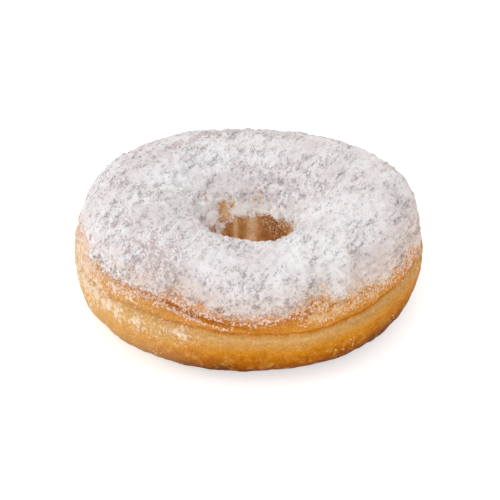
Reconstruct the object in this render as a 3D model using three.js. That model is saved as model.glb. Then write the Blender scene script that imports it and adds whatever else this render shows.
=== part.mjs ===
// A raised ring doughnut, as one solid of fried dough: a broad low crown, a funnel that narrows to the
// throat of the hole, and a crease around the outside where the two fried halves meet.
// Millimetres, +Z up. The origin is at the middle of the flat foot that the ring rests on.
// Angles run from +X towards +Y, and the front of the ring faces -Y.
import * as THREE from "three";
import { ParametricGeometry } from "three/addons/geometries/ParametricGeometry.js";
import { ImprovedNoise } from "three/addons/math/ImprovedNoise.js";

// Driving dimensions.
const OUTER_RADIUS = 45;
const RING_HEIGHT = 31.7;
const THROAT_RADIUS = 10.7;

// The section's named places, worked out from the driving dimensions.
const CROWN_RADIUS = 0.628 * OUTER_RADIUS;
const FOOT_OUTER = 0.72 * OUTER_RADIUS;
const FOOT_INNER = 0.478 * OUTER_RADIUS;
const BELLY_HEIGHT = 0.345 * RING_HEIGHT;
const CREASE_HEIGHT = 0.507 * RING_HEIGHT;
const THROAT_HEIGHT = 0.46 * RING_HEIGHT;

// How full each quarter of the section is: 0.55 is a quarter ellipse, and 1 is square.
const SHOULDER_FULLNESS = 0.8;
const BELLY_FULLNESS = 0.63;
const FUNNEL_FULLNESS = 0.47;
const UNDERSIDE_FULLNESS = 0.55;

// The steps around the ring, and the share of the shoulder curve that holds the crease and its fold.
const RING_STEPS = 124;
const CREASE_SHARE = 0.21;

const DEGREE = Math.PI / 180;
const TURN = 2 * Math.PI;
const { clamp, smoothstep } = THREE.MathUtils;

// ---------------------------------------------------------------------------------------- section

/** A quarter of the section that leaves `from` along one axis and reaches `to` along the other. */
function quarter(from, to, fullness, leavesUpright) {
  const reach = new THREE.Vector2().subVectors(to, from).multiplyScalar(fullness);
  const upright = new THREE.Vector2(0, reach.y);
  const level = new THREE.Vector2(reach.x, 0);
  const first = from.clone().add(leavesUpright ? upright : level);
  const second = to.clone().sub(leavesUpright ? level : upright);
  return new THREE.CubicBezierCurve(from, first, second, to);
}

// The section runs outwards along the foot, up the outside, over the crown and down the hole.
const footInner = new THREE.Vector2(FOOT_INNER, 0);
const footOuter = new THREE.Vector2(FOOT_OUTER, 0);
const belly = new THREE.Vector2(OUTER_RADIUS, BELLY_HEIGHT);
const crown = new THREE.Vector2(CROWN_RADIUS, RING_HEIGHT);
const throat = new THREE.Vector2(THROAT_RADIUS, THROAT_HEIGHT);

const foot = new THREE.LineCurve(footInner, footOuter);
const lowerSide = quarter(footOuter, belly, BELLY_FULLNESS, false);
const upperSide = quarter(belly, crown, SHOULDER_FULLNESS, true);
const funnel = quarter(crown, throat, FUNNEL_FULLNESS, false);
const underside = quarter(throat, footInner, UNDERSIDE_FULLNESS, true);

const STRETCHES = [
  { curve: foot, start: 0, end: 1, steps: 2 },
  { curve: lowerSide, start: 0, end: 1, steps: 6 },
  { curve: upperSide, start: 0, end: CREASE_SHARE, steps: 13 },
  { curve: upperSide, start: CREASE_SHARE, end: 1, steps: 10 },
  { curve: funnel, start: 0, end: 1, steps: 11 },
  { curve: underside, start: 0, end: 1, steps: 5 },
];
const SECTION_STEPS = STRETCHES.reduce((sum, stretch) => sum + stretch.steps, 0);

/** The section's point and outward direction at a share of its steps, from 0 to 1. */
function sectionAt(share) {
  let step = share * SECTION_STEPS;
  let index = 0;
  while (index < STRETCHES.length - 1 && step > STRETCHES[index].steps) {
    step -= STRETCHES[index].steps;
    index += 1;
  }
  const { curve, start, end, steps } = STRETCHES[index];
  const t = clamp(start + ((end - start) * step) / steps, 0, 1);
  const along = curve.getTangent(t);
  return { point: curve.getPoint(t), outward: new THREE.Vector2(along.y, -along.x) };
}

// ---------------------------------------------------------------------------------- uneven outline

/** A sum of waves around the ring, each [times round, height in mm, phase in degrees]. */
function waves(list, angle) {
  return list.reduce((sum, [turns, height, phase]) => {
    return sum + height * Math.cos(turns * angle - phase * DEGREE);
  }, 0);
}

// The lower half and the top crust rose differently, so each has an outline of its own. The crown is
// higher on one side, and the crease wanders up and down as it goes around.
const LOWER_OUTLINE = [
  [1, 0.65, 115],
  [2, 0.15, 287],
  [3, 0.35, 21],
  [4, 0.4, 113],
  [5, 0.14, 55],
  [6, 0.19, 60],
];
const UPPER_OUTLINE = [
  [1, 0.58, 131],
  [3, 0.53, 46],
  [4, 0.62, 73],
  [5, 0.43, 342],
  [6, 0.2, 130],
];
const CROWN_WAVES = [
  [1, 0.82, 128],
  [2, 1.04, 25],
];
const THROAT_WAVES = [
  [1, 0.45, 0],
  [2, 0.3, 20],
  [3, 0.35, 80],
  [5, 0.25, 10],
];
const CREASE_WAVES = [
  [1, 0.4, 230],
  [3, 0.3, 320],
  [5, 0.25, 130],
];
// Where the lower outline gives way to the upper one, and how far from the crease its wander reaches.
const OUTLINE_BLEND = { from: 0.4 * RING_HEIGHT, to: 0.66 * RING_HEIGHT };
const CREASE_PULL = 6;

/** How far the outside lies beyond the plain section at an angle and a height. */
function outlineAt(angle, height) {
  const blend = smoothstep(height, OUTLINE_BLEND.from, OUTLINE_BLEND.to);
  return THREE.MathUtils.lerp(waves(LOWER_OUTLINE, angle), waves(UPPER_OUTLINE, angle), blend);
}

// ------------------------------------------------------------------------------------------ relief

// Folds: how deep each goes, how wide it is, and how the dough swells beside it.
const CREASE = { depth: 0.8, width: 0.9, swell: 0.3, swellBelow: 2.8, swellWidth: 2 };
// The crust's second fold leaves the crease in front and climbs to the left.
const FOLD = { depth: 0.5, width: 1.2, lip: 0.4, lipAbove: 2.2, from: 218, to: 282, low: 1.2, high: 5.2 };
// The broken ledge inside the hole, opposite the front.
const LEDGE = { depth: 0.5, width: 1.1, height: 0.62 * RING_HEIGHT, middle: 98, reach: 42 };
// The crust's broad swells and smaller dimples: their height, their length and where the noise starts.
const SWELL = { height: 0.55, length: 13, start: 4 };
const DIMPLE = { height: 0.35, length: 5, start: 9 };
const FOOT_FADE = 3;

const noise = new ImprovedNoise();
const bump = (distance, width) => Math.exp(-((distance / width) ** 2));

/** The crease: a narrow valley at the foot of the top crust, with the pale band swelling below it. */
function creaseRelief(height) {
  const above = height - CREASE_HEIGHT;
  const valley = CREASE.depth * bump(above, CREASE.width);
  const swell = CREASE.swell * bump(above + CREASE.swellBelow, CREASE.swellWidth);
  return swell - valley;
}

/** The second fold: a valley under a thin lip of crust, which fades out at both ends. */
function foldRelief(height, angle) {
  const along = clamp((angle / DEGREE - FOLD.from) / (FOLD.to - FOLD.from), 0, 1);
  const strength = Math.sin(Math.PI * along);
  const rise = THREE.MathUtils.lerp(FOLD.high, FOLD.low, smoothstep(along, 0.1, 0.95));
  const above = height - CREASE_HEIGHT - rise;
  const valley = FOLD.depth * bump(above, FOLD.width);
  const lip = FOLD.lip * bump(above - FOLD.lipAbove, FOLD.width);
  return strength * (lip - valley);
}

/** The ledge on the far wall of the hole, where the crust broke while it rose. */
function ledgeRelief(height, angle) {
  const strength = bump(angle / DEGREE - LEDGE.middle, LEDGE.reach);
  return -strength * LEDGE.depth * bump(height - LEDGE.height, LEDGE.width);
}

/** The unevenness of the crust, broad swells and smaller dimples, which fades out at the flat foot. */
function crustRelief(x, y, z) {
  const noiseOf = ({ height, length, start }) => {
    return height * noise.noise(x / length + start, y / length + start, z / length);
  };
  return (noiseOf(SWELL) + noiseOf(DIMPLE)) * smoothstep(z, 0, FOOT_FADE);
}

// ------------------------------------------------------------------------------------------- solid

/** The surface point at a share of a turn around the ring and a share of the section's steps. */
function crustPoint(turn, share, target) {
  const angle = (turn % 1) * TURN;
  const { point, outward } = sectionAt(share % 1);
  const isOutside = point.x > CROWN_RADIUS;
  const outer = clamp((point.x - CROWN_RADIUS) / (OUTER_RADIUS - CROWN_RADIUS), 0, 1);
  const inner = clamp((CROWN_RADIUS - point.x) / (CROWN_RADIUS - THROAT_RADIUS), 0, 1);
  const radius = point.x + outer * outlineAt(angle, point.y) + inner * waves(THROAT_WAVES, angle);
  const pull = isOutside ? waves(CREASE_WAVES, angle) * bump(point.y - CREASE_HEIGHT, CREASE_PULL) : 0;
  const height = point.y * (1 + waves(CROWN_WAVES, angle) / RING_HEIGHT) + pull;
  const outerFolds = creaseRelief(point.y) + foldRelief(point.y, angle);
  const folds = isOutside ? outerFolds : ledgeRelief(point.y, angle);
  const relief = folds + crustRelief(radius * Math.cos(angle), radius * Math.sin(angle), height);
  const r = radius + outward.x * relief;
  target.set(r * Math.cos(angle), r * Math.sin(angle), Math.max(height + outward.y * relief, 0));
}

const crust = new THREE.MeshStandardMaterial({ color: 0xc98a3c, roughness: 0.6, metalness: 0 });

const dough = new THREE.Mesh(new ParametricGeometry(crustPoint, RING_STEPS, SECTION_STEPS), crust);
dough.name = "dough_ring";
dough.geometry.computeBoundingBox();
const middle = dough.geometry.boundingBox.getCenter(new THREE.Vector3());
dough.position.set(-middle.x, -middle.y, 0);

const doughnut = new THREE.Group();
doughnut.add(dough);

export default doughnut;
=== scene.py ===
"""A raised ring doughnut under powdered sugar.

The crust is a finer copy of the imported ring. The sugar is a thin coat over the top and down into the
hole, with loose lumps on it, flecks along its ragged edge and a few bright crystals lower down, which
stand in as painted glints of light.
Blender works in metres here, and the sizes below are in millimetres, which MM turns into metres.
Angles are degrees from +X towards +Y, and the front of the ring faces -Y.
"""

import math

import bpy
import numpy as np
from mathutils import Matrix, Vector, noise


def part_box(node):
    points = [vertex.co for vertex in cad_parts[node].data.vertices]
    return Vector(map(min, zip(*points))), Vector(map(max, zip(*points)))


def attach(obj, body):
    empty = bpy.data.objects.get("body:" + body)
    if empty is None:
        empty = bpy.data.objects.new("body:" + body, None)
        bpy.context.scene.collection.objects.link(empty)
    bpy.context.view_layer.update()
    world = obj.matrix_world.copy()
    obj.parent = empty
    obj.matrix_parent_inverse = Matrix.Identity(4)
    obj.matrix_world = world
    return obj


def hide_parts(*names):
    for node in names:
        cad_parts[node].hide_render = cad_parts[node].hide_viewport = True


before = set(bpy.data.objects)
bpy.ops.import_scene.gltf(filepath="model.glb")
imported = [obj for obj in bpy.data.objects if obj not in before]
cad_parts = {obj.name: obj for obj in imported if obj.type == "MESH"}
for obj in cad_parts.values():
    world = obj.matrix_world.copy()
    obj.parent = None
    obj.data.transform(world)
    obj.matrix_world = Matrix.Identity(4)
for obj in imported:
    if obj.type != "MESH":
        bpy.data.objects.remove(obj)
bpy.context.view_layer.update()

MM = 0.001

# ------------------------------------------------------------------------------- sizes and places

ring_low, ring_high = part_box("dough_ring")
OUTER_RADIUS = (ring_high.x - ring_low.x) / 2 / MM
CROWN_RADIUS = 0.62 * OUTER_RADIUS
CREASE_HEIGHT = 16.1

# A line around the ring is a mean height and waves: (times round, height, phase in degrees). The
# crease wanders by its first three waves, and the last two follow the crown, higher on one side.
CREASE_WAVES = [(1, 0.4, 230), (3, 0.3, 320), (5, 0.25, 130), (1, 0.42, 128), (2, 0.53, 25)]
# The crust's second fold leaves the crease in front and climbs to the left.
FOLD_FROM = 218
FOLD_TO = 282
FOLD_LOW = 1.2
FOLD_HIGH = 5.2
FOLD_DEPTH = 0.6
LIP_ABOVE_FOLD = 1.1
LIP_HEIGHT = 0.35
# The pale band below the crease: its height, which narrows to the right and widens to the left.
BAND_HEIGHT = 3.8
# The edge of the sugar, around the outside and down in the hole.
SUGAR_LINE = 21.8
SUGAR_LINE_WAVES = [
    (1, 0.79, 131),
    (2, 0.96, 27),
    (3, 0.74, 265),
    (4, 0.45, 130),
    (6, 0.2, 51),
    (7, 0.41, 282),
    (8, 0.5, 160),
]
FUNNEL_LINE = 16.6
FUNNEL_LINE_WAVES = [(1, 0.6, 300), (2, 0.4, 150), (5, 0.2, 40)]

SKIN_LEVELS = 2
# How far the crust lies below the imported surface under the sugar, and how the coat rises from there.
CRUST_DROP = 0.8
COAT_DIP = 0.3
COAT_RISE = 1.15
COAT_THICKNESS = 0.9
# The coat goes on this far under the crust past its own edge.
COAT_MARGIN = 2.2
# The way that the sugar was swept over the crown, and how deep that furrowed it.
STREAK_DIRECTION = (0.45, 0.89, 0)
FURROW_DEPTH = 0.6
# A little powder speckles the crust even where it looks clean.
BASE_DUST = 0.035

# Spots are (angle, radius, height, reach, amount), and reach into each other. The sugar's edge draws
# back at the bare spots, and an amount below nothing carries the sugar on past its edge.
BARE_SPOTS = [
    (150, 11.8, 17.2, 1.0, 3),
    (147, 10.8, 14.0, 3.0, -6),
    (162, 10.8, 14.0, 4.0, -6),
    (96, 10.9, 16.0, 3.0, -1),
    (352, 45.0, 20.0, 5.0, -3.0),
    (338, 44.0, 20.5, 6.0, -1.8),
    (320, 43.5, 21.0, 6.0, -1.8),
    (295, 43.2, 24.5, 4.0, 2.2),
    (238, 43.5, 23.0, 5.0, -1.2),
    (222, 44.0, 22.5, 5.0, -0.8),
    (208, 44.5, 22.0, 5.0, -2.0),
    (350, 44.2, 15.5, 4.0, -2.6),
    (355, 44.6, 16.5, 4.5, -2.4),
    (3, 44.8, 17.0, 5.0, -2.4),
    (12, 44.8, 17.5, 5.5, -2.4),
    (23, 44.6, 18.5, 6.0, -2.0),
    (341, 43.6, 17.0, 3.0, -1.6),
    (334, 43.6, 19.0, 3.5, -1.2),
    (299, 43.6, 22.8, 3.0, -3.0),
    (305, 42.9, 22.6, 3.5, -1.2),
    (242, 43.3, 24.0, 3.0, -1.0),
    (229, 43.5, 24.0, 3.0, -0.6),
    (111, 10.0, 16.2, 1.6, 1.0),
    (97, 9.9, 16.2, 1.6, 0.9),
]
# The sugar lies thinly here, and the crust's colour comes through it.
THIN_SPOTS = [
    (186, 45.0, 25.0, 5.0, 0.3),
    (197, 45.0, 24.0, 4.0, 0.35),
    (305, 44.0, 23.0, 4.0, 0.12),
    (318, 43.5, 24.0, 4.0, 0.15),
    (321, 40.8, 25.8, 3.0, 0.35),
    (313, 39.4, 27.5, 3.0, 0.3),
    (133, 31.0, 31.5, 2.6, 0.6),
    (126, 30.5, 31.8, 2.6, 0.6),
    (117, 32.0, 31.8, 2.4, 0.7),
    (109, 33.0, 31.7, 3.0, 0.9),
    (100, 33.0, 31.5, 3.0, 0.5),
    (75, 32.0, 31.0, 3.5, 0.45),
    (64, 32.0, 30.6, 4.0, 0.5),
    (20, 40.0, 28.5, 5.0, 0.6),
    (88, 19.0, 27.5, 6.0, 0.45),
    (200, 38.0, 29.0, 6.0, 0.2),
    (215, 36.0, 30.0, 8.0, 0.36),
    (235, 37.0, 29.5, 8.0, 0.42),
    (143, 14.9, 25.1, 0.9, 0.8),
    (145, 13.7, 23.9, 0.8, 0.8),
    (122, 12.6, 20.8, 2.2, 1.1),
    (127, 12.2, 18.6, 1.8, 1.0),
    (125, 10.9, 18.2, 1.0, 0.9),
    (132, 10.9, 17.4, 1.0, 0.8),
    (129, 11.7, 20.6, 1.2, 0.5),
    (182, 11.5, 19.9, 1.2, 0.8),
    (149, 11.8, 16.0, 1.5, 0.9),
    (309, 40.0, 28.5, 4.0, 0.12),
    (84, 12.4, 21.6, 0.9, 0.6),
    (77, 12.8, 22.2, 0.9, 0.6),
    (232, 38.0, 28.0, 5.0, 0.4),
    (246, 41.0, 26.0, 5.0, 0.35),
    (300, 41.0, 26.0, 5.0, 0.12),
]
# The sugar is packed smooth and bright here, its brightness partly painted light where the powder lies
# in shade, as in the hole, and an amount below nothing makes it duller and pitted.
PACKED_AND_LIT_SPOTS = [
    (358, 13.5, 21.5, 5.0, 0.8),
    (342, 18.5, 27.5, 6.0, 0.7),
    (296, 28.5, 30.0, 5.0, 0.5),
    (290, 36.0, 29.5, 5.0, 0.4),
    (303, 38.5, 28.5, 5.0, 0.6),
    (299, 42.0, 25.5, 4.0, 0.6),
    (308, 33.5, 30.0, 4.0, 0.4),
    (173, 20.0, 30.5, 5.0, 0.8),
    (198, 26.5, 33.0, 4.0, 0.5),
    (108, 11.5, 20.5, 3.5, 0.6),
    (55, 11.5, 19.0, 3.0, 0.8),
    (73, 11.0, 17.5, 3.0, 0.4),
    (202, 36.5, 32.0, 4.0, 0.5),
    (213, 39.5, 30.5, 4.0, 0.4),
    (114, 22.5, 30.0, 4.0, 0.7),
    (21, 24.0, 31.5, 4.0, -0.7),
    (359, 35.0, 32.0, 5.0, -0.8),
    (350, 39.5, 29.5, 4.0, -0.6),
    (321, 41.0, 26.0, 3.5, -0.9),
    (313, 39.5, 27.5, 3.5, -0.8),
    (217, 28.5, 32.5, 5.0, -0.6),
    (97, 16.5, 27.0, 4.0, -0.4),
    (267, 30.5, 30.0, 3.5, -0.5),
    (58, 29.0, 32.0, 4.0, -0.6),
    (80, 36.0, 31.0, 5.0, -0.6),
    (97, 36.0, 31.5, 5.0, -0.4),
    (154, 13.0, 22.5, 3.0, 0.8),
    (146, 12.0, 19.5, 2.0, 0.6),
    (155, 19.5, 29.5, 4.0, 0.5),
    (89, 11.0, 18.5, 2.5, 0.4),
    (90, 20.0, 29.0, 4.0, 0.6),
]
# Powder lies on the bare crust here as a thin even film.
FILM_SPOTS = [(135, 10.8, 15.0, 3.0, 0.6)]
# Powder is smeared over the bare crust here in patches.
SMEAR_SPOTS = [
    (184, 45.5, 19.0, 9.0, 0.6),
    (200, 45.4, 24.0, 5.0, 0.75),
    (208, 45.3, 20.5, 4.0, 0.7),
    (196, 45.2, 16.0, 4.0, 0.8),
    (206, 45.5, 15.5, 3.0, 0.75),
    (212, 45.5, 13.5, 2.6, 0.6),
    (203, 45.5, 9.5, 3.5, 0.35),
    (215, 45.0, 18.5, 2.0, 0.6),
    (222, 44.8, 19.5, 1.8, 0.5),
    (229, 44.8, 18.8, 1.5, 0.8),
    (219, 45.5, 14.2, 2.2, 0.85),
    (225, 45.3, 14.0, 2.0, 0.75),
    (232, 45.3, 13.8, 2.4, 0.6),
    (240, 45.2, 14.0, 2.4, 0.45),
    (249, 45.2, 14.0, 2.4, 0.3),
]
# A few bright crystals cling to the lower crust here, and stand in as painted glints of light.
GLINT_CRYSTAL_SPOTS = [
    (276, 45.0, 10.3, 1.0, 0.5),
    (286, 45.0, 12.2, 1.2, 0.5),
    (299, 45.2, 9.2, 1.2, 1.0),
    (303, 45.2, 8.3, 1.4, 1.0),
    (320, 44.8, 8.0, 1.4, 1.0),
    (324, 44.6, 8.8, 1.2, 0.8),
    (238, 45.2, 7.0, 2.0, 0.3),
    (262, 44.8, 6.0, 2.0, 0.3),
]
# Streaks down the wall of the hole: (angle, half the width in degrees, how pale, or dark below nothing).
HOLE_STREAKS = [(122, 5, -0.35), (112, 4, 0.7), (102, 5, -0.35), (86, 8.5, 1.0), (54, 22, -0.8)]
# Specks and crumbs of powder cling here below the edge of the coat.
DUSTY_SPOTS = [
    (188, 45.5, 19.0, 6.0, 0.7),
    (196, 45.5, 13.0, 5.0, 0.5),
    (205, 45.5, 19.0, 4.0, 0.7),
    (213, 45.5, 15.5, 4.0, 0.6),
    (222, 45.3, 17.5, 3.0, 0.6),
    (232, 45.2, 12.5, 4.0, 0.4),
    (240, 45.2, 14.0, 4.0, 0.5),
    (249, 45.0, 14.0, 4.0, 0.5),
    (262, 44.5, 16.0, 2.5, 0.6),
    (286, 44.8, 17.0, 2.0, 0.7),
    (295, 44.8, 17.0, 2.0, 0.6),
    (302, 45.2, 8.0, 1.5, 0.3),
    (321, 44.6, 8.4, 1.5, 0.3),
    (330, 44.6, 19.0, 3.5, 0.7),
    (341, 44.8, 18.5, 4.0, 0.9),
    (352, 45.0, 18.0, 4.0, 0.9),
    (230, 44.8, 19.0, 3.0, 0.4),
    (248, 44.0, 22.5, 3.0, 0.4),
    (254, 44.6, 20.3, 3.0, 0.5),
]

# ---------------------------------------------------------------------------------------- helpers


def deselect_all():
    bpy.ops.object.select_all(action="DESELECT")


def make_active(piece):
    """Selects one object alone, as the operators work on what is selected."""
    deselect_all()
    piece.select_set(True)
    bpy.context.view_layer.objects.active = piece


def copy_of(source, name):
    """A copy of an object with a mesh of its own."""
    piece = bpy.data.objects.new(name, source.data.copy())
    piece.data.name = name
    bpy.context.scene.collection.objects.link(piece)
    make_active(piece)
    return piece


def apply_modifier(piece, kind, **settings):
    """Adds a modifier with these settings and applies it."""
    make_active(piece)
    modifier = piece.modifiers.new(kind.lower(), kind)
    for name, value in settings.items():
        setattr(modifier, name, value)
    bpy.ops.object.modifier_apply(modifier=modifier.name)


def delete_vertices(piece, unwanted):
    """Deletes the vertices that an array of true and false values picks out."""
    make_active(piece)
    bpy.ops.object.mode_set(mode="EDIT")
    bpy.ops.mesh.select_mode(type="VERT")
    bpy.ops.mesh.select_all(action="DESELECT")
    bpy.ops.object.mode_set(mode="OBJECT")
    piece.data.vertices.foreach_set("select", unwanted)
    bpy.ops.object.mode_set(mode="EDIT")
    bpy.ops.mesh.delete(type="VERT")
    bpy.ops.object.mode_set(mode="OBJECT")


def paint(piece, name, weights):
    """Paints a vertex group: one weight for each vertex, from 0 to 1."""
    group = piece.vertex_groups.new(name=name)
    for index, weight in enumerate(np.clip(weights, 0, 1).tolist()):
        if weight > 0:
            group.add((index,), weight, "REPLACE")


def swell(piece, height, mask):
    """Raises the surface by a height in millimetres where the mask is painted."""
    apply_modifier(piece, "DISPLACE", strength=height * MM, mid_level=0, vertex_group=mask)


def roughen(piece, mask, height, size, basis="ORIGINAL_PERLIN", octaves=0, middle=0.5, **settings):
    """Raises and lowers the surface by a noise of this size in millimetres where the mask is painted."""
    texture = bpy.data.textures.new("relief", "CLOUDS")
    texture.noise_scale = size * MM
    texture.noise_basis = basis
    texture.noise_depth = octaves
    for name, value in settings.items():
        setattr(texture, name, value)
    apply_modifier(
        piece,
        "DISPLACE",
        texture=texture,
        texture_coords="LOCAL",
        strength=height * MM,
        mid_level=middle,
        vertex_group=mask,
    )


def positions_of(piece):
    """The mesh's vertices as an array, in millimetres."""
    flat = np.empty(len(piece.data.vertices) * 3)
    piece.data.vertices.foreach_get("co", flat)
    return flat.reshape(-1, 3) / MM


def store(piece, name, values):
    """Keeps one number for each vertex on the mesh, for the materials and the scattering to read."""
    attributes = piece.data.attributes
    if name in attributes:
        attributes.remove(attributes[name])
    attributes.new(name, "FLOAT", "POINT").data.foreach_set("value", values.astype(np.float32))


def stored(piece, name):
    """The numbers that store kept on the mesh."""
    values = np.empty(len(piece.data.vertices))
    piece.data.attributes[name].data.foreach_get("value", values)
    return values


def smoothstep(value, low, high):
    """Goes smoothly from 0 at the low value to 1 at the high one."""
    share = np.clip((value - low) / (high - low), 0, 1)
    return share * share * (3 - 2 * share)


def bump(distance, width):
    """Is 1 at no distance, and fades to 0 over about twice the width."""
    return np.exp(-((distance / width) ** 2))


def streaked(positions, streak):
    """Positions drawn together along the streaks, so that noise at them comes out longer that way."""
    direction = np.array(STREAK_DIRECTION)
    return positions - np.outer(positions @ direction, direction) * streak


def noise_at(positions, length, seed, octaves=1):
    """Smooth noise from about -1 to 1 that changes over a length in millimetres."""
    offset = Vector((seed * 7.3, seed * 3.1, seed * 5.7))
    total = np.zeros(len(positions))
    for octave in range(octaves):
        scale = 2**octave / length
        values = [noise.noise(Vector(position) * scale + offset) for position in positions]
        total += np.array(values) / 2**octave
    return total * 1.6


def line_height(mean, waves, angle):
    """The height of a line around the ring at these angles."""
    return mean + sum(h * np.cos(np.radians(turns * angle - phase)) for turns, h, phase in waves)


def sum_of_spots(positions, spots):
    """What the spots add up to at each position."""
    total = np.zeros(len(positions))
    for angle, radius, height, reach, amount in spots:
        turn = math.radians(angle)
        middle = np.array((radius * math.cos(turn), radius * math.sin(turn), height))
        distance = np.linalg.norm(positions - middle, axis=1)
        total += amount * bump(distance, reach)
    return total


def spots_at(positions, spots, low=0):
    """How strongly the spots reach each position, from the low value to 1."""
    return np.clip(sum_of_spots(positions, spots), low, 1)


# ------------------------------------------------------------------ where things lie on the ring


class Places:
    """Where each vertex lies: around the ring, in the hole or outside it, and above the crease.

    Cover is how far it lies above the edge of the sugar, and is below nothing on the bare crust.
    """

    def __init__(self, piece):
        self.positions = positions_of(piece)
        self.x, self.y, self.height = self.positions.T
        self.angle = np.degrees(np.arctan2(self.y, self.x)) % 360
        self.radius = np.hypot(self.x, self.y)
        self.outside = self.radius > CROWN_RADIUS
        self.in_hole = smoothstep(CROWN_RADIUS - self.radius, 6, 11) * ~self.outside
        self.above_crease = self.height - line_height(CREASE_HEIGHT, CREASE_WAVES, self.angle)
        over_edge = self.height - line_height(SUGAR_LINE, SUGAR_LINE_WAVES, self.angle)
        over_throat = self.height - line_height(FUNNEL_LINE, FUNNEL_LINE_WAVES, self.angle)
        over_line = np.where(self.outside, over_edge, over_throat)
        self.cover = over_line - sum_of_spots(self.positions, BARE_SPOTS)


def fold_at(places):
    """How strong the second fold is at each vertex's angle, and each vertex's height above it."""
    along = np.clip((places.angle - FOLD_FROM) / (FOLD_TO - FOLD_FROM), 0, 1)
    rise = FOLD_HIGH + (FOLD_LOW - FOLD_HIGH) * smoothstep(along, 0.1, 0.95)
    return np.sin(np.pi * along) * places.outside, places.above_crease - rise


def fold_shade_at(places):
    """How deep in the second fold each vertex is, where the crust is painted darker as shade in the fold
    and holds no powder.
    """
    fold, above_fold = fold_at(places)
    return fold * bump(above_fold - 0.35, 0.75)


def banded_height_at(places):
    """Height above the crease, with the band below it narrower on the right and wider on the left."""
    narrow = 1 + 0.9 * smoothstep(places.x, 5, 38) - 0.4 * smoothstep(-places.x, 5, 42)
    below = np.maximum(-places.above_crease, 0)
    pushed = (narrow - 1) * np.minimum(below, BAND_HEIGHT / narrow)
    return places.above_crease - pushed


def streaks_at(angle):
    """How pale the wall of the hole is at these angles: 1 is pale, 0 is plain and -1 is dark."""
    return sum(pale * bump(angle - middle, half) for middle, half, pale in HOLE_STREAKS)


def film_at(places):
    """How much powder lies on the crust as a thin film, from 0 to 1: on the right above the crease."""
    right = smoothstep(places.x, 4, 18) * places.outside
    above = smoothstep(places.above_crease, 0.4, 3.2)
    return np.clip(right * above + sum_of_spots(places.positions, FILM_SPOTS), 0, 1)


def dust_at(places):
    """How much powder speckles the crust, from 0 to 1: most at the fringe below the edge of the coat."""
    fringe_low = -1.7 - 2.5 * smoothstep(np.abs(places.x), 6, 30)
    fringe = smoothstep(places.cover, fringe_low, 1.0) * (1 - 0.7 * places.in_hole)
    wall = places.in_hole * smoothstep(places.height, 9, 14) * (1 - smoothstep(places.angle, 65, 80))
    fold, above_fold = fold_at(places)
    fading = smoothstep(places.angle, 236, 246) * (1 - 0.6 * smoothstep(places.angle, 254, 262))
    strip = fold * bump(above_fold + 1.0, 0.5) * fading
    dust = BASE_DUST + 0.74 * fringe * (1 - 0.4 * film_at(places)) * (1 - 0.75 * fold_shade_at(places))
    dust += 0.45 * spots_at(places.positions, DUSTY_SPOTS)
    dust += 0.36 * wall
    dust += 0.7 * strip
    return np.clip(dust, 0, 1)


def loose_at(places, dust):
    """Where flecks of sugar gather: in drifts on the dusty crust below the edge of the coat."""
    below_edge = smoothstep(-places.cover, -1.5, 0.5)
    gathered = smoothstep(noise_at(places.positions, 2.5, seed=17), -0.3, 0.7)
    return (dust - BASE_DUST).clip(0) ** 1.5 * below_edge * gathered * (1 - 0.8 * places.in_hole)


def depth_at(places, cover):
    """How deep the sugar lies, from 0 to 1: it thins out towards its edge and at the thin spots."""
    gradual = smoothstep(places.x, -32, -10) * (1 - 0.9 * smoothstep(places.x, 24, 36))
    full = np.where(places.in_hole > 0, 2.6, 3.2 + 3.0 * gradual)
    worn = 1 + 0.6 * noise_at(places.positions, 1.5, seed=21)
    thin = np.clip(sum_of_spots(places.positions, THIN_SPOTS) * worn, 0, 1)
    return smoothstep(cover, -1.3, full) * (1 - thin)


def rim_at(places):
    """How near each vertex is to the back or an end of the ring, where the sugar lies smoother."""
    return np.maximum(smoothstep(places.y, 18, 30), smoothstep(np.abs(places.x), 37, 43))


# ----------------------------------------------------------------------------------------- meshes


def make_skin():
    """The ring's own surface, merged into quads and smoothed."""
    piece = copy_of(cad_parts["dough_ring"], "skin")
    bpy.ops.object.mode_set(mode="EDIT")
    bpy.ops.mesh.select_all(action="SELECT")
    bpy.ops.mesh.remove_doubles(threshold=0.002 * MM)
    bpy.ops.mesh.tris_convert_to_quads(face_threshold=math.radians(60), shape_threshold=math.pi)
    bpy.ops.object.mode_set(mode="OBJECT")
    apply_modifier(piece, "SUBSURF", levels=SKIN_LEVELS, render_levels=SKIN_LEVELS)
    bpy.ops.object.shade_smooth()
    return piece


def shape_crust(piece, places):
    """Lowers the crust under the sugar, and gives it wrinkles, blisters, a torn hole and its fold."""
    fold, above_fold = fold_at(places)
    torn = places.in_hole * smoothstep(places.height, 10, 14) * smoothstep(-places.cover, -1, 2)
    paint(piece, "under_sugar", smoothstep(places.cover, -1.5, 1.5))
    paint(piece, "clear_of_foot", smoothstep(places.height, 0.3, 3))
    paint(piece, "dusty", spots_at(places.positions, DUSTY_SPOTS))
    paint(piece, "torn", torn)
    paint(piece, "fold", fold * bump(above_fold, 0.6))
    paint(piece, "lip", fold * bump(above_fold - LIP_ABOVE_FOLD, 0.7))
    swell(piece, -CRUST_DROP, "under_sugar")
    roughen(piece, "clear_of_foot", 0.5, 3.0, octaves=1)
    roughen(piece, "clear_of_foot", -0.3, 2.6, basis="VORONOI_F1", middle=0.6)
    roughen(piece, "dusty", 1.8, 2.0, octaves=2)
    roughen(piece, "torn", 1.2, 1.8, octaves=2)
    swell(piece, -FOLD_DEPTH, "fold")
    swell(piece, LIP_HEIGHT, "lip")


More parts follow.
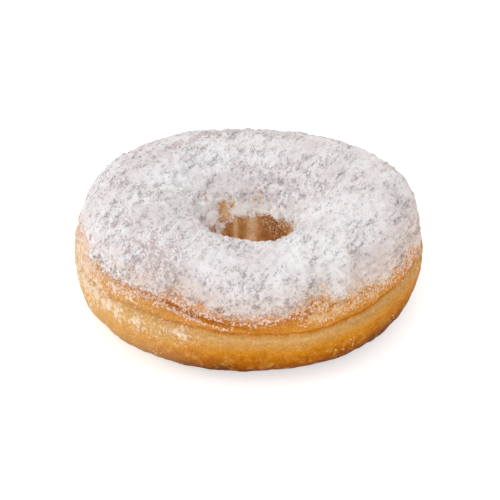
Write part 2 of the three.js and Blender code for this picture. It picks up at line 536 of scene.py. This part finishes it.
def make_crust(skin, places):
    """The fried crust: a finer copy of the ring, which keeps what its material and the flecks read."""
    piece = copy_of(skin, "fried_crust")
    shape_crust(piece, places)
    store(piece, "above_crease", banded_height_at(places))
    store(piece, "fold_shade", fold_shade_at(places))
    store(piece, "in_hole", places.in_hole)
    store(piece, "hole_streak", streaks_at(places.angle))
    store(piece, "pale_side", smoothstep(-places.x, 4, 40))
    store(piece, "film", film_at(places))
    store(piece, "smear", spots_at(places.positions, SMEAR_SPOTS))
    store(piece, "covered", smoothstep(places.cover, 0.8, 2.5))
    store(piece, "dust", dust_at(places))
    store(piece, "glint_crystals", spots_at(places.positions, GLINT_CRYSTAL_SPOTS))
    return piece


def shape_coat(piece, places, cover):
    """Raises the coat from under the crust, and gives it lumps, fewer at the rim, and swept furrows."""
    rise = smoothstep(cover, -0.8, 1.8)
    ridges = noise_at(streaked(places.positions, 0.65), 1.9, seed=8, octaves=2)
    paint(piece, "all", np.ones(len(rise)))
    paint(piece, "rise", rise)
    paint(piece, "rough", rise * (1 - 0.6 * rim_at(places)))
    paint(piece, "furrows", rise * smoothstep(-ridges, -0.1, 1.0))
    swell(piece, -CRUST_DROP - COAT_DIP, "all")
    swell(piece, COAT_RISE, "rise")
    roughen(piece, "rise", 0.27, 5.0, octaves=1)
    roughen(piece, "rise", -0.2, 2.0, basis="VORONOI_F1", middle=0.6)
    roughen(piece, "rough", 0.3, 1.3, octaves=1)
    roughen(piece, "rough", 0.7, 1.7, octaves=1, contrast=3.0, intensity=1.6, middle=1.0)
    swell(piece, -FURROW_DEPTH, "furrows")


def make_coat(skin, places):
    """The coat of sugar: a thin closed shell that dips under the crust along its ragged edge."""
    piece = copy_of(skin, "sugar_coat")
    cover = places.cover + 0.9 * noise_at(places.positions, 3.0, seed=5, octaves=3)
    shape_coat(piece, places, cover)
    near_edge = 1 - smoothstep(cover, 1, 6)
    low_in_hole = places.in_hole * (1 - smoothstep(places.height, 22, 26))
    # Painted shade near the coat's outer edge, less on the lit left.
    outer_edge_shade = (1 - smoothstep(cover, 3.0, 9.0)) * (1 - 0.85 * smoothstep(-places.x, 25, 37))
    store(piece, "sugar_depth", depth_at(places, cover))
    store(piece, "near_edge", near_edge)
    # Packed smooth powder, brighter partly as painted light.
    store(piece, "packed_and_lit", spots_at(places.positions, PACKED_AND_LIT_SPOTS, low=-1))
    store(piece, "in_hole", low_in_hole)
    # Outside the hole painted shade near the outer edge; low in the hole near its edge, painted light.
    store(piece, "edge_shade_and_hole_light", np.where(places.outside, outer_edge_shade, low_in_hole * near_edge))
    store(piece, "film", film_at(places))
    delete_vertices(piece, cover < -COAT_MARGIN)
    apply_modifier(piece, "SOLIDIFY", thickness=COAT_THICKNESS * MM, offset=-1)
    return piece


# ---------------------------------------------------------------------------------- node utilities


class Nodes:
    """Adds nodes to one tree, and sets or links their inputs."""

    def __init__(self, tree):
        self.tree = tree
        tree.nodes.clear()

    def set(self, socket, value):
        """Links a socket given as the value, or sets a constant one."""
        if isinstance(value, bpy.types.NodeSocket):
            self.tree.links.new(value, socket)
        else:
            socket.default_value = value

    def add(self, kind, inputs=None, **settings):
        """A new node of a kind, with inputs by name or number and settings by name."""
        made = self.tree.nodes.new(kind)
        for name, value in settings.items():
            setattr(made, name, value)
        for key, value in (inputs or {}).items():
            self.set(made.inputs[key], value)
        return made

    def math(self, operation, first, second, clamp=False):
        made = self.add("ShaderNodeMath", {0: first, 1: second}, operation=operation, use_clamp=clamp)
        return made.outputs[0]

    def plus(self, first, second):
        return self.math("ADD", first, second)

    def minus(self, first, second):
        return self.math("SUBTRACT", first, second)

    def times(self, first, second):
        return self.math("MULTIPLY", first, second)

    def mix(self, share, first, second):
        """A colour between two: the sockets of the colour kind are numbers 6 and 7, and output 2."""
        made = self.add("ShaderNodeMix", data_type="RGBA")
        self.set(made.inputs[0], share)
        self.set(made.inputs[6], first)
        self.set(made.inputs[7], second)
        return made.outputs[2]

    def remap(self, value, low, high, to_low=0.0, to_high=1.0):
        inputs = {"Value": value, "From Min": low, "From Max": high, "To Min": to_low, "To Max": to_high}
        return self.add("ShaderNodeMapRange", inputs).outputs["Result"]

    def attribute(self, name):
        """A number that store kept on the mesh."""
        return self.add("ShaderNodeAttribute", attribute_name=name).outputs["Fac"]

    def position(self):
        """The place on the piece, in metres."""
        return self.add("ShaderNodeTexCoord").outputs["Object"]

    def vector(self, operation, first, second):
        key = "Scale" if operation == "SCALE" else 1
        made = self.add("ShaderNodeVectorMath", {0: first, key: second}, operation=operation)
        return made.outputs["Value" if operation == "DOT_PRODUCT" else "Vector"]

    def noise(self, scale, detail=2.0, roughness=0.5, place=None):
        place = place or self.position()
        inputs = {"Vector": place, "Scale": scale, "Detail": detail, "Roughness": roughness}
        return self.add("ShaderNodeTexNoise", inputs).outputs["Fac"]

    def bump(self, height, distance, strength):
        """A normal that follows a height; the distance is in millimetres."""
        inputs = {"Height": height, "Distance": distance * MM, "Strength": strength}
        return self.add("ShaderNodeBump", inputs).outputs["Normal"]

    def group(self, tree, inputs):
        """The outputs of a node group placed here with these inputs."""
        made = self.add("ShaderNodeGroup", node_tree=tree)
        for key, value in inputs.items():
            self.set(made.inputs[key], value)
        return made.outputs

    def ramp(self, share, stops):
        """A colour along stops of (place from 0 to 1, colour)."""
        made = self.add("ShaderNodeValToRGB", {"Fac": share})
        elements = made.color_ramp.elements
        while len(elements) < len(stops):
            elements.new(0.5)
        for element, (place, colour) in zip(elements, stops):
            element.position = place
            element.color = colour
        return made.outputs["Color"]


def srgb(red, green, blue):
    """A colour given as the eye reads it, 0 to 255, as the linear colour that shaders take."""
    channels = [c / 255 for c in (red, green, blue)]
    linear = [c / 12.92 if c <= 0.04045 else ((c + 0.055) / 1.055) ** 2.4 for c in channels]
    return (*linear, 1.0)


def new_group(name, inputs, outputs):
    """A shader node group with number inputs {name: value} and number outputs [name]."""
    tree = bpy.data.node_groups.new(name, "ShaderNodeTree")
    for label, value in inputs.items():
        socket = tree.interface.new_socket(label, in_out="INPUT", socket_type="NodeSocketFloat")
        socket.default_value = value
    for label in outputs:
        tree.interface.new_socket(label, in_out="OUTPUT", socket_type="NodeSocketFloat")
    nodes = Nodes(tree)
    return nodes, nodes.add("NodeGroupInput").outputs, nodes.add("NodeGroupOutput").inputs


# ---------------------------------------------------------------------------------------- effects


def make_speckle_group():
    """Powder in specks: the more there is, the more of the surface the specks take up."""
    nodes, given, out = new_group(
        "Powder specks", {"Amount": 0.5, "Size in mm": 0.5, "Softness": 0.12}, ["Mask"]
    )
    scale = nodes.math("DIVIDE", 1 / MM, given["Size in mm"])
    fine = nodes.noise(scale, detail=3, roughness=0.6)
    cell = {"Vector": nodes.position(), "Scale": scale}
    from_middle = nodes.add("ShaderNodeTexVoronoi", cell).outputs["Distance"]
    broad = nodes.noise(nodes.math("DIVIDE", scale, 5.0))
    grains = nodes.minus(fine, nodes.times(from_middle, 0.7))
    mixed = nodes.plus(nodes.times(grains, 0.63), nodes.times(broad, 0.37))
    even = nodes.remap(mixed, 0.07, 0.45)
    level = nodes.minus(nodes.plus(even, given["Amount"]), 1.0)
    nodes.set(out["Mask"], nodes.math("DIVIDE", level, given["Softness"], clamp=True))
    return nodes.tree


def make_grain_group():
    """The grain of powder and of crust: a height for bumps and a broader mottle for colours.

    Streak draws the grain out along the way that the sugar was swept: 0 is round, and 0.6 is long.
    """
    nodes, given, out = new_group("Grain", {"Size in mm": 0.4, "Streak": 0.0}, ["Height", "Mottle"])
    scale = nodes.math("DIVIDE", 1 / MM, given["Size in mm"])
    along = nodes.vector("DOT_PRODUCT", nodes.position(), STREAK_DIRECTION)
    pull = nodes.vector("SCALE", STREAK_DIRECTION, nodes.times(along, given["Streak"]))
    place = nodes.vector("SUBTRACT", nodes.position(), pull)
    broad = nodes.math("DIVIDE", scale, 7.0)
    nodes.set(out["Height"], nodes.noise(scale, detail=3, roughness=0.6, place=place))
    nodes.set(out["Mottle"], nodes.noise(broad, detail=4, roughness=0.6, place=place))
    return nodes.tree


# -------------------------------------------------------------------------------------- materials

# Brown of the fried blotches, and also the painted shade in the crust's second fold.
FRIED_BROWN_AND_FOLD_SHADE = srgb(150, 78, 10)
LIGHT_GOLD = srgb(222, 168, 84)
PALE_GOLD = srgb(222, 182, 121)
HOLE_CRUST = srgb(200, 147, 92)
HOLE_PALE = srgb(236, 204, 166)
HOLE_DARK = srgb(152, 100, 62)
# Powder on the crust, as a film and in smears.
FILM_WHITE = srgb(222, 182, 136)
SMEAR_WHITE = srgb(236, 214, 190)
# Powder on top, with its pits painted darker as shade, and in its warmer patches: dry, damp from the
# crust, and melted.
SUGAR_WHITE = srgb(241, 238, 239)
SUGAR_PIT_SHADE = srgb(180, 169, 168)
SUGAR_TINT = srgb(233, 225, 225)
DAMP_WHITE = srgb(238, 214, 203)
DAMP_PIT_SHADE = srgb(214, 174, 150)
DAMP_TINT = srgb(230, 202, 190)
# Bright melted crystals on the lower crust, which stand in as painted glints of light.
MELTED_GLINT_WHITE = srgb(240, 198, 132)
MELTED_PIT_SHADE = srgb(214, 150, 74)
MELTED_GLINT_TINT = srgb(232, 182, 112)
# Powder near the coat's outer edge, duller and warmer partly as painted shade, less so on the lit left,
# and powder low in the hole near its edge, painted brighter as painted light against the hole's shade.
EDGE_SHADE_WHITE = srgb(221, 204, 195)
EDGE_PIT_SHADE = srgb(170, 148, 138)
HOLE_PAINTED_LIGHT_WHITE = srgb(254, 251, 248)
# What shows between the specks: on the crown, at its edge, through a film and in the hole.
CROWN_GAP = srgb(203, 186, 184)
EDGE_GAP = srgb(202, 142, 90)
FILM_GREY = srgb(222, 202, 190)
FILM_TAN = srgb(212, 166, 120)
HOLE_BROWN = srgb(186, 124, 78)
HOLE_GAP = srgb(230, 192, 144)

# The crust's colour by its height above the crease, in millimetres. The dark stop at the crease is
# painted shade in the crease, the lighter stops just below it are painted light against the shade
# under the crease's lip, and the darkening towards the foot is partly browning and partly painted shade.
CRUST_COLOURS = [
    # Darker towards the foot: partly browning and partly painted shade near the floor.
    (-16.0, srgb(44, 18, 1)),
    (-12.0, srgb(86, 37, 2)),
    (-10.4, srgb(134, 69, 3)),
    (-8.4, srgb(170, 98, 6)),
    (-5.6, srgb(197, 127, 30)),
    (-3.8, srgb(199, 143, 68)),
    (-2.6, srgb(202, 150, 84)),
    # Painted light against the shade under the crease's lip.
    (-1.5, srgb(211, 165, 104)),
    (-0.7, srgb(209, 153, 80)),
    # Painted shade in the crease.
    (0.0, srgb(174, 102, 28)),
    (0.7, srgb(200, 132, 46)),
    (3.0, srgb(199, 128, 50)),
    (8.0, srgb(180, 106, 56)),
]
COLOUR_LOW = CRUST_COLOURS[0][0]
COLOUR_HIGH = CRUST_COLOURS[-1][0]


def new_material(name):
    """An empty material, and what adds its nodes."""
    material = bpy.data.materials.new(name)
    material.use_nodes = True
    return material, Nodes(material.node_tree)


def finish_material(nodes, colour, roughness, normal=None, specular=0.5, glow=0.0):
    """Adds the shader and the output; each value is a constant or comes from a node."""
    inputs = {"Base Color": colour, "Roughness": roughness, "Specular IOR Level": specular}
    inputs["Emission Strength"] = glow
    if normal is not None:
        inputs["Normal"] = normal
    shader = nodes.add("ShaderNodeBsdfPrincipled", inputs)
    nodes.add("ShaderNodeOutputMaterial", {"Surface": shader.outputs[0]})


def height_on_crust(nodes, mottle):
    """Height above the crease, which wanders up and down so that the bands of colour aren't level."""
    above = nodes.attribute("above_crease")
    wander = nodes.remap(mottle, 0.3, 0.7, -0.8, 0.8)
    return nodes.plus(above, nodes.times(wander, nodes.remap(above, -2.0, -6.0, 0.35, 1.0)))


def hole_wall_colour(nodes, blotches):
    """The wall of the hole, streaked pale and dark."""
    uneven = nodes.remap(blotches, 0.3, 0.7, -0.4, 0.4)
    streak = nodes.plus(nodes.attribute("hole_streak"), uneven)
    pale_wall = nodes.mix(nodes.remap(streak, 0, 1), HOLE_CRUST, HOLE_PALE)
    return nodes.mix(nodes.remap(streak, 0, -1), pale_wall, HOLE_DARK)


def crust_colour(nodes, grains, blotches):
    """Fried dough in bands by its height above the crease, with painted shade at the crease and in the
    second fold, blotched brown and gold.
    """
    height = height_on_crust(nodes, grains["Mottle"])
    span = COLOUR_HIGH - COLOUR_LOW
    stops = [((place - COLOUR_LOW) / span, colour) for place, colour in CRUST_COLOURS]
    by_height = nodes.ramp(nodes.remap(height, COLOUR_LOW, COLOUR_HIGH), stops)
    bare = nodes.mix(nodes.attribute("in_hole"), by_height, hole_wall_colour(nodes, blotches))
    unevenness = nodes.remap(height, -5.0, -8.0, 0.2, 0.5)
    brown_share = nodes.times(nodes.remap(blotches, 0.52, 0.28), unevenness)
    browned = nodes.mix(brown_share, bare, FRIED_BROWN_AND_FOLD_SHADE)
    gold_share = nodes.times(nodes.remap(blotches, 0.5, 0.8), unevenness)
    golden = nodes.mix(gold_share, browned, LIGHT_GOLD)
    pale = nodes.mix(nodes.times(nodes.attribute("pale_side"), 0.5), golden, PALE_GOLD)
    # Painted shade in the second fold.
    fold_shaded = nodes.mix(nodes.times(nodes.attribute("fold_shade"), 0.95), pale, FRIED_BROWN_AND_FOLD_SHADE)
    tone = nodes.remap(grains["Height"], 0.3, 0.7, 0.78, 1.13)
    return nodes.add("ShaderNodeHueSaturation", {"Color": fold_shaded, "Value": tone}).outputs["Color"]


def under_film_and_smears(nodes, skin, speckle):
    """The crust's colour under a thin film of powder and smears of it."""
    film = {"Amount": nodes.attribute("film"), "Size in mm": 0.6, "Softness": 0.9}
    filmed = nodes.mix(nodes.group(speckle, film)["Mask"], skin, FILM_WHITE)
    smear_amount = nodes.math("POWER", nodes.attribute("smear"), 0.5)
    smear = {"Amount": smear_amount, "Size in mm": 1.1, "Softness": 0.5}
    smears = nodes.times(nodes.group(speckle, smear)["Mask"], 0.85)
    return nodes.mix(smears, filmed, SMEAR_WHITE)


def make_crust_material(speckle, grain):
    """Fried dough, dusted with a film, smears and specks of powder."""
    material, nodes = new_material("fried_dough")
    grains = nodes.group(grain, {"Size in mm": 0.6})
    blotches = nodes.group(grain, {"Size in mm": 2.2})["Height"]
    smeared = under_film_and_smears(nodes, crust_colour(nodes, grains, blotches), speckle)
    dust = {"Amount": nodes.attribute("dust"), "Size in mm": 0.6, "Softness": 0.4}
    specks = nodes.group(speckle, dust)["Mask"]
    # Specks of powder on the crust, their pits painted darker as shade.
    powder = nodes.mix(nodes.remap(grains["Height"], 0.4, 0.6), DAMP_PIT_SHADE, DAMP_WHITE)
    local_powder = nodes.mix(nodes.attribute("in_hole"), powder, HOLE_PALE)
    dusted = nodes.mix(nodes.times(specks, 0.9), smeared, local_powder)
    colour = nodes.mix(nodes.attribute("covered"), dusted, SUGAR_TINT)
    roughness = nodes.remap(specks, 0, 1, 0.4, 0.9)
    finish_material(nodes, colour, roughness, nodes.bump(grains["Height"], 0.2, 0.6), specular=0.01)
    return material


def outer_edge(nodes):
    """Where the coat is near its edge outside the hole."""
    return nodes.times(nodes.attribute("near_edge"), nodes.minus(1.0, nodes.attribute("in_hole")))


def sugar_relief(nodes, fine, coarse):
    """The powder's own height, from 0 in its pits to 1: smooth where packed, and pitted at its edge."""
    broad = nodes.remap(nodes.noise(1 / (9 * MM)), 0.45, 0.65, 0.0, 0.08)
    packed_and_lit = nodes.times(nodes.attribute("packed_and_lit"), 0.04)
    pitted = nodes.times(outer_edge(nodes), 0.03)
    smooth = nodes.minus(nodes.plus(broad, packed_and_lit), pitted)
    grains = nodes.plus(nodes.times(fine["Height"], 0.5), nodes.times(coarse["Height"], 0.5))
    return nodes.remap(nodes.plus(grains, smooth), 0.36, 0.49)


def powder_colour(nodes, relief, mottle, white, pit_shade, tint):
    """Powder with its pits painted darker as shade, duller near its outer edge partly as painted shade,
    brighter low in the hole as painted light, and cleaner and brighter where packed, partly as painted
    light.
    """
    packed_and_lit = nodes.attribute("packed_and_lit")
    cleaner = nodes.plus(mottle, nodes.times(packed_and_lit, 0.2))
    tinted = nodes.mix(nodes.remap(cleaner, 0.34, 0.6), tint, white)
    # Duller near the outer edge as painted shade, and brighter low in the hole as painted light.
    edge_shade_and_hole_light_white = nodes.mix(nodes.attribute("in_hole"), EDGE_SHADE_WHITE, HOLE_PAINTED_LIGHT_WHITE)
    edged = nodes.mix(nodes.times(nodes.attribute("edge_shade_and_hole_light"), 0.9), tinted, edge_shade_and_hole_light_white)
    # The pits are painted darker as shade, near the outer edge too.
    edge_pit_shade = nodes.mix(outer_edge(nodes), pit_shade, EDGE_PIT_SHADE)
    toned = {
        "Color": nodes.mix(relief, edge_pit_shade, edged),
        "Saturation": nodes.remap(packed_and_lit, 0.0, 1.0, 1.0, 0.3),
        # Brighter where packed, partly as painted light.
        "Value": nodes.remap(packed_and_lit, -1.0, 1.0, 0.88, 1.08),
    }
    return nodes.add("ShaderNodeHueSaturation", toned).outputs["Color"]


def gap_colour(nodes, mottle):
    """What shows between the specks of powder where it lies thinly."""
    near_edge = nodes.attribute("near_edge")
    plain_gap = nodes.mix(near_edge, CROWN_GAP, EDGE_GAP)
    filmed_gap = nodes.mix(nodes.math("POWER", near_edge, 2.5), FILM_GREY, FILM_TAN)
    outer_gap = nodes.mix(nodes.attribute("film"), plain_gap, filmed_gap)
    hole_gap = nodes.mix(nodes.remap(mottle, 0.42, 0.58), HOLE_BROWN, HOLE_GAP)
    return nodes.mix(nodes.attribute("in_hole"), outer_gap, hole_gap)


def sugar_specks(nodes, speckle):
    """Where powder hides the gap: all over where it lies deep, and in specks where it lies thinly."""
    depth = nodes.attribute("sugar_depth")
    in_hole = nodes.attribute("in_hole")
    extra = nodes.times(nodes.times(in_hole, depth), 0.15)
    amount = nodes.plus(nodes.remap(depth, 0.0, 0.9, 0.3, 1.15), extra)
    softer = nodes.times(in_hole, nodes.remap(depth, 0.0, 1.0, 0.7, 0.0))
    inputs = {"Amount": amount, "Size in mm": 0.55, "Softness": nodes.plus(softer, 0.45)}
    return nodes.group(speckle, inputs)["Mask"]


def make_sugar_material(name, white, pit_shade, tint, speckle, grain):
    """Powder with its pits painted darker as shade, which breaks into specks where it lies thinly on the
    crust.
    """
    material, nodes = new_material(name)
    fine = nodes.group(grain, {"Size in mm": 0.45, "Streak": 0.5})
    coarse = nodes.group(grain, {"Size in mm": 1.2, "Streak": 0.78})
    relief = sugar_relief(nodes, fine, coarse)
    powder = powder_colour(nodes, relief, coarse["Mottle"], white, pit_shade, tint)
    colour = nodes.mix(sugar_specks(nodes, speckle), gap_colour(nodes, fine["Mottle"]), powder)
    finish_material(nodes, colour, 0.95, nodes.bump(relief, 0.22, 0.85), specular=0.1)
    return material


# -------------------------------------------------------------------------------------- scattering


def make_scatter_group(density, size_low, size_high, seed):
    """Covers a surface with lumps, as its "share" allows, and leaves only the lumps."""
    tree = bpy.data.node_groups.new("scatter", "GeometryNodeTree")
    tree.interface.new_socket("Geometry", in_out="INPUT", socket_type="NodeSocketGeometry")
    tree.interface.new_socket("Geometry", in_out="OUTPUT", socket_type="NodeSocketGeometry")
    nodes = Nodes(tree)
    given = nodes.add("NodeGroupInput").outputs
    share = nodes.add("GeometryNodeInputNamedAttribute", {"Name": "share"}, data_type="FLOAT")
    per_metre = nodes.times(share.outputs["Attribute"], density / MM**2)
    spread = nodes.add(
        "GeometryNodeDistributePointsOnFaces",
        {"Mesh": given["Geometry"], "Density": per_metre, "Seed": seed},
        distribute_method="RANDOM",
    )
    lump = nodes.add("GeometryNodeMeshIcoSphere", {"Radius": 0.5, "Subdivisions": 1})
    size = nodes.add(
        "FunctionNodeRandomValue",
        {"Min": (size_low * MM,) * 3, "Max": (size_high * MM,) * 3, "Seed": seed + 1},
        data_type="FLOAT_VECTOR",
    )
    placed = nodes.add(
        "GeometryNodeInstanceOnPoints",
        {
            "Points": spread.outputs["Points"],
            "Instance": lump.outputs["Mesh"],
            "Rotation": spread.outputs["Rotation"],
            "Scale": size.outputs["Value"],
        },
    )
    lumps = nodes.add("GeometryNodeRealizeInstances", {"Geometry": placed.outputs["Instances"]})
    wobble = nodes.add("ShaderNodeTexNoise", {"Scale": 1.2 / (size_high * MM)})
    offset = nodes.vector("SUBTRACT", wobble.outputs["Color"], (0.5,) * 3)
    shift = nodes.vector("SCALE", offset, 1.2 * size_high * MM)
    moving = {"Geometry": lumps.outputs["Geometry"], "Offset": shift}
    moved = nodes.add("GeometryNodeSetPosition", moving)
    nodes.add("NodeGroupOutput", {"Geometry": moved.outputs["Geometry"]})
    return tree


def scatter(name, ground, share, density, size_low, size_high, seed):
    """Lumps of sugar on a piece, as one mesh; the density is lumps for each square millimetre."""
    piece = copy_of(ground, name)
    store(piece, "share", share)
    apply_modifier(piece, "NODES", node_group=make_scatter_group(density, size_low, size_high, seed))
    bpy.ops.object.shade_smooth()
    store(piece, "sugar_depth", np.ones(len(piece.data.vertices)))
    return piece


# ------------------------------------------------------------------------------------------- stage

CAMERA_PLACE = Vector((0.14, -390.6, 240.04))
CAMERA_TARGET = Vector((0.14, -1.56, 13.89))
CAMERA_LENS = 124.25
KEY_POWER = 2.3
LEFT_POWER = 0.76
FRONT_POWER = 1.5
SKY_STRENGTH = 0.7
FLOOR_GLOW = 0.52
# Where the softboxes point: about the middle of the ring, in metres.
LIT_PLACE = Vector((0, 0, 0.02))


def make_camera():
    """Looks along +Y and down on the ring, from far enough away to keep the perspective mild."""
    position = CAMERA_PLACE * MM
    target = CAMERA_TARGET * MM
    bpy.ops.object.camera_add(location=position)
    camera = bpy.context.object
    camera.rotation_euler = (target - position).to_track_quat("-Z", "Y").to_euler()
    camera.data.lens = CAMERA_LENS
    camera.data.clip_start = 0.01
    camera.data.clip_end = 20
    bpy.context.scene.camera = camera


def make_floor_material():
    """A white table that glows a little, so that shadows on it stay pale."""
    material, nodes = new_material("studio_floor")
    colour = nodes.mix(nodes.noise(3), (0.96, 0.96, 0.96, 1), (0.98, 0.98, 0.98, 1))
    finish_material(nodes, colour, 0.9, glow=FLOOR_GLOW)
    return material


def add_softbox(name, position, size, power):
    """A round soft light that faces the ring; position and size are in metres."""
    bpy.ops.object.light_add(type="AREA", location=position)
    light = bpy.context.object
    light.name = name
    light.data.shape = "DISK"
    light.data.size = size
    light.data.energy = power
    light.rotation_euler = (LIT_PLACE - Vector(position)).to_track_quat("-Z", "Y").to_euler()


def make_stage():
    """A plain pale floor, three softboxes and an even sky."""
    deselect_all()
    bpy.ops.mesh.primitive_plane_add(size=8)
    floor = bpy.context.object
    floor.name = "floor"
    floor.data.materials.append(make_floor_material())
    add_softbox("key_light", (-0.3, 0.35, 0.9), 0.3, KEY_POWER)
    add_softbox("left_fill", (-0.9, -0.1, 0.45), 0.5, LEFT_POWER)
    add_softbox("front_fill", (0.0, -0.9, 0.5), 0.6, FRONT_POWER)
    world = bpy.data.worlds.new("studio")
    world.use_nodes = True
    sky = world.node_tree.nodes["Background"].inputs
    sky["Color"].default_value = (1, 1, 1, 1)
    sky["Strength"].default_value = SKY_STRENGTH
    bpy.context.scene.world = world
    bpy.context.scene.view_settings.view_transform = "Standard"


# ------------------------------------------------------------------------------------------- build

make_camera()
make_stage()

groups = (make_speckle_group(), make_grain_group())
crust_material = make_crust_material(*groups)
sugar_material = make_sugar_material("powdered_sugar", SUGAR_WHITE, SUGAR_PIT_SHADE, SUGAR_TINT, *groups)
damp_material = make_sugar_material("damp_sugar", DAMP_WHITE, DAMP_PIT_SHADE, DAMP_TINT, *groups)
glint_material = make_sugar_material("melted_sugar_glints", MELTED_GLINT_WHITE, MELTED_PIT_SHADE, MELTED_GLINT_TINT, *groups)

skin = make_skin()
places = Places(skin)
crust = make_crust(skin, places)
coat = make_coat(skin, places)
bpy.data.objects.remove(skin)

coat_places = Places(coat)
on_top = smoothstep(coat_places.cover, 0.5, 4.0) * (1 - 0.75 * rim_at(coat_places))
loose = loose_at(places, stored(crust, "dust"))
glint_share = stored(crust, "glint_crystals")
clumps = scatter("sugar_clumps", coat, on_top, 0.5, 0.2, 0.55, seed=11)
flecks = scatter("sugar_flecks", crust, loose, 7.0, 0.15, 0.5, seed=23)
# Bright crystals on the lower crust as painted glints of light.
glint_crystals = scatter("sugar_crystal_glints", crust, glint_share, 0.9, 0.3, 0.65, seed=31)

pieces = [
    (crust, crust_material, "fried_dough"),
    (coat, sugar_material, "powdered_sugar"),
    (clumps, sugar_material, "powdered_sugar"),
    (flecks, damp_material, "powdered_sugar"),
    (glint_crystals, glint_material, "powdered_sugar"),
]
for piece, material, slot in pieces:
    piece.data.materials.clear()
    piece.data.materials.append(material)
    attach(piece, "root")
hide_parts("dough_ring")
